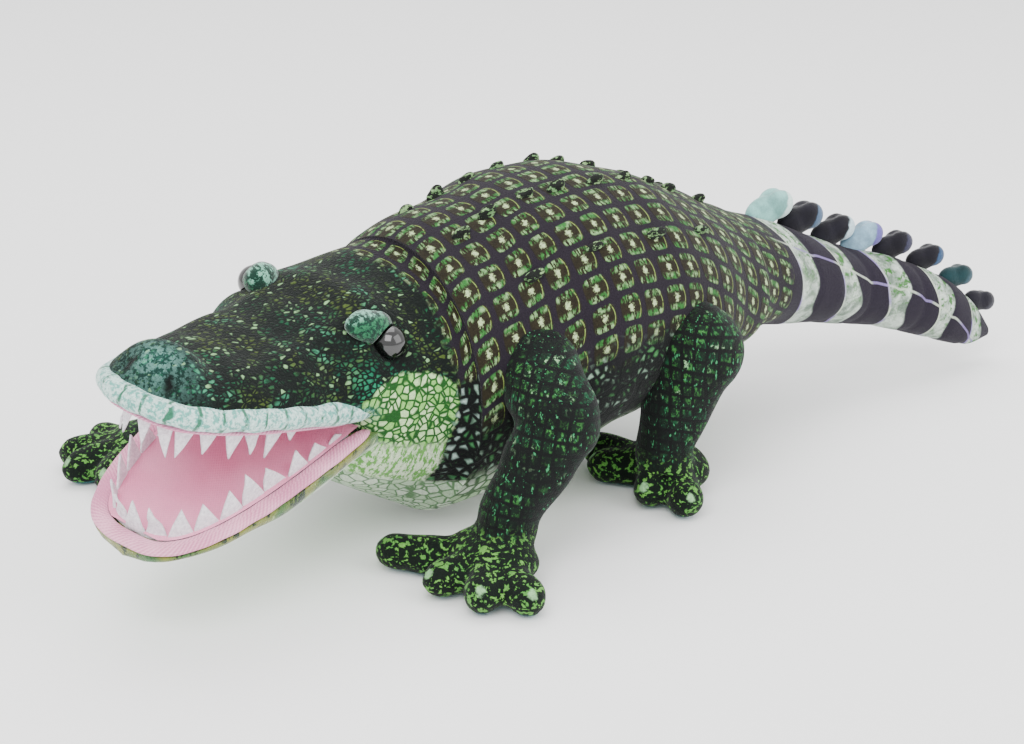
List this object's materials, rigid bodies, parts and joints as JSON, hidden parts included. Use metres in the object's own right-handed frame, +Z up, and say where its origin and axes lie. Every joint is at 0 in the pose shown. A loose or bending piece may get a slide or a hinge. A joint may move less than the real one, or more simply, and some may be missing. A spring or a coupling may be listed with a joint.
{
  "type": "moving mouth hand puppet",
  "caption": "Long lizard-like plush hand puppet with an opening toothed mouth, stuffed legs with padded toes, a tapering finned tail and a hand sleeve through the belly.",
  "frame": {"origin": "on the surface that the puppet stands on, under the middle of its bounding box", "axes": "+Z up, +Y along the back towards the tail, -Y the way the puppet faces, +X its left side"},
  "size_m": [0.3321, 0.6306, 0.1739],
  "materials": {
    "back_plush": "short printed plush, charcoal with dark olive rounded scales",
    "belly_plush": "short printed plush, pale green scales outlined in dark",
    "head_plush": "short printed plush, mottled dark green with teal and olive specks",
    "cheek_plush": "short printed plush, lime to pale green pebble scales",
    "lip_plush": "brushed plush, pale mint with dark green cross stripes",
    "jaw_plush": "brushed plush, olive and dark green stripes",
    "leg_plush": "short printed plush, near black with green and teal dashes",
    "sole_fabric": "flat woven teal cloth",
    "tail_plush": "short printed plush, banded charcoal and pale grey with moss specks",
    "fin_plush": "short plush, mostly black with pale blue and mint ends",
    "pink_lining": "smooth pink knit",
    "pink_binding": "pink rib knit",
    "tooth_felt": "white felt",
    "lining_cloth": "thin woven lining",
    "stuffing": "loose polyester fibre fill",
    "board": "stiff card",
    "eye": "glossy black",
    "washer": "white moulded plastic"
  },
  "bodies": {
    "torso": {"back_skin": "back_plush", "belly_skin": "belly_plush", "sleeve_hem": "lining_cloth", "body_stuffing": "stuffing", "hand_sleeve": "lining_cloth"},
    "neck": {"neck_skin": "back_plush", "neck_stuffing": "stuffing", "neck_sleeve": "lining_cloth"},
    "head": {"head_skin": "head_plush", "throat_skin": "cheek_plush", "left_brow": "lip_plush", "right_brow": "lip_plush", "left_eye": "eye", "right_eye": "eye", "left_eye_washer": "washer", "right_eye_washer": "washer", "nose_pad": "head_plush", "upper_lip": "lip_plush", "upper_binding": "pink_binding", "upper_teeth": "tooth_felt", "palate_lining": "pink_lining", "palate_board": "board", "finger_pocket": "lining_cloth", "head_stuffing": "stuffing"},
    "jaw": {"jaw_skin": "jaw_plush", "jaw_binding": "pink_binding", "lower_teeth": "tooth_felt", "jaw_lining": "pink_lining", "jaw_board": "board", "thumb_pocket": "lining_cloth"},
    "tail": {"tail_skin": "tail_plush", "tail_stuffing": "stuffing", "tail_fin_1": "fin_plush", "tail_fin_2": "fin_plush", "tail_fin_3": "fin_plush", "tail_fin_4": "fin_plush", "tail_fin_5": "fin_plush", "tail_fin_6": "fin_plush", "tail_fin_7": "fin_plush", "tail_fin_8": "fin_plush"},
    "front_left_leg": {"front_left_leg_skin": "leg_plush", "front_left_stuffing": "stuffing", "front_left_foot_skin": "leg_plush", "front_left_sole": "sole_fabric"},
    "front_right_leg": {"front_right_leg_skin": "leg_plush", "front_right_stuffing": "stuffing", "front_right_foot_skin": "leg_plush", "front_right_sole": "sole_fabric"},
    "rear_left_leg": {"rear_left_leg_skin": "leg_plush", "rear_left_stuffing": "stuffing", "rear_left_foot_skin": "leg_plush", "rear_left_sole": "sole_fabric"},
    "rear_right_leg": {"rear_right_leg_skin": "leg_plush", "rear_right_stuffing": "stuffing", "rear_right_foot_skin": "leg_plush", "rear_right_sole": "sole_fabric"}
  },
  "joints": [
    {"name": "head_turn", "type": "hinge", "parent": "torso", "child": "neck", "pos_m": [0.0236, -0.1147, 0.086], "axis": [0, 0, 1], "range_deg": [-10, 10], "stiffness_Nm_per_rad": 1.5},
    {"name": "head_nod", "type": "hinge", "parent": "neck", "child": "head", "pos_m": [0.0236, -0.1147, 0.086], "axis": [0.9554, 0.2352, -0.1784], "range_deg": [-10, 10], "stiffness_Nm_per_rad": 4, "springref_deg": -1.15},
    {"name": "jaw_open", "type": "hinge", "parent": "head", "child": "jaw", "pos_m": [0.0266, -0.1857, 0.093], "axis": [0.9554, 0.2352, -0.1784], "range_deg": [-15, 10], "stiffness_Nm_per_rad": 0.4, "springref_deg": -1.72},
    {"name": "tail_swing", "type": "hinge", "parent": "torso", "child": "tail", "pos_m": [0.0266, 0.1163, 0.088], "axis": [0, 0, 1], "range_deg": [-25, 25], "stiffness_Nm_per_rad": 1},
    {"name": "front_left_leg_swing", "type": "hinge", "parent": "torso", "child": "front_left_leg", "pos_m": [0.0886, -0.0887, 0.095], "axis": [0, 0, 1], "range_deg": [-8, 20], "stiffness_Nm_per_rad": 0.8},
    {"name": "front_right_leg_swing", "type": "hinge", "parent": "torso", "child": "front_right_leg", "pos_m": [-0.0394, -0.0927, 0.095], "axis": [0, 0, 1], "range_deg": [-20, 8], "stiffness_Nm_per_rad": 0.8},
    {"name": "rear_left_leg_swing", "type": "hinge", "parent": "torso", "child": "rear_left_leg", "pos_m": [0.0806, 0.0213, 0.086], "axis": [0, 0, 1], "range_deg": [-20, 20], "stiffness_Nm_per_rad": 0.8},
    {"name": "rear_right_leg_swing", "type": "hinge", "parent": "torso", "child": "rear_right_leg", "pos_m": [-0.0274, 0.0273, 0.086], "axis": [0, 0, 1], "range_deg": [-20, 20], "stiffness_Nm_per_rad": 0.8}
  ]
}
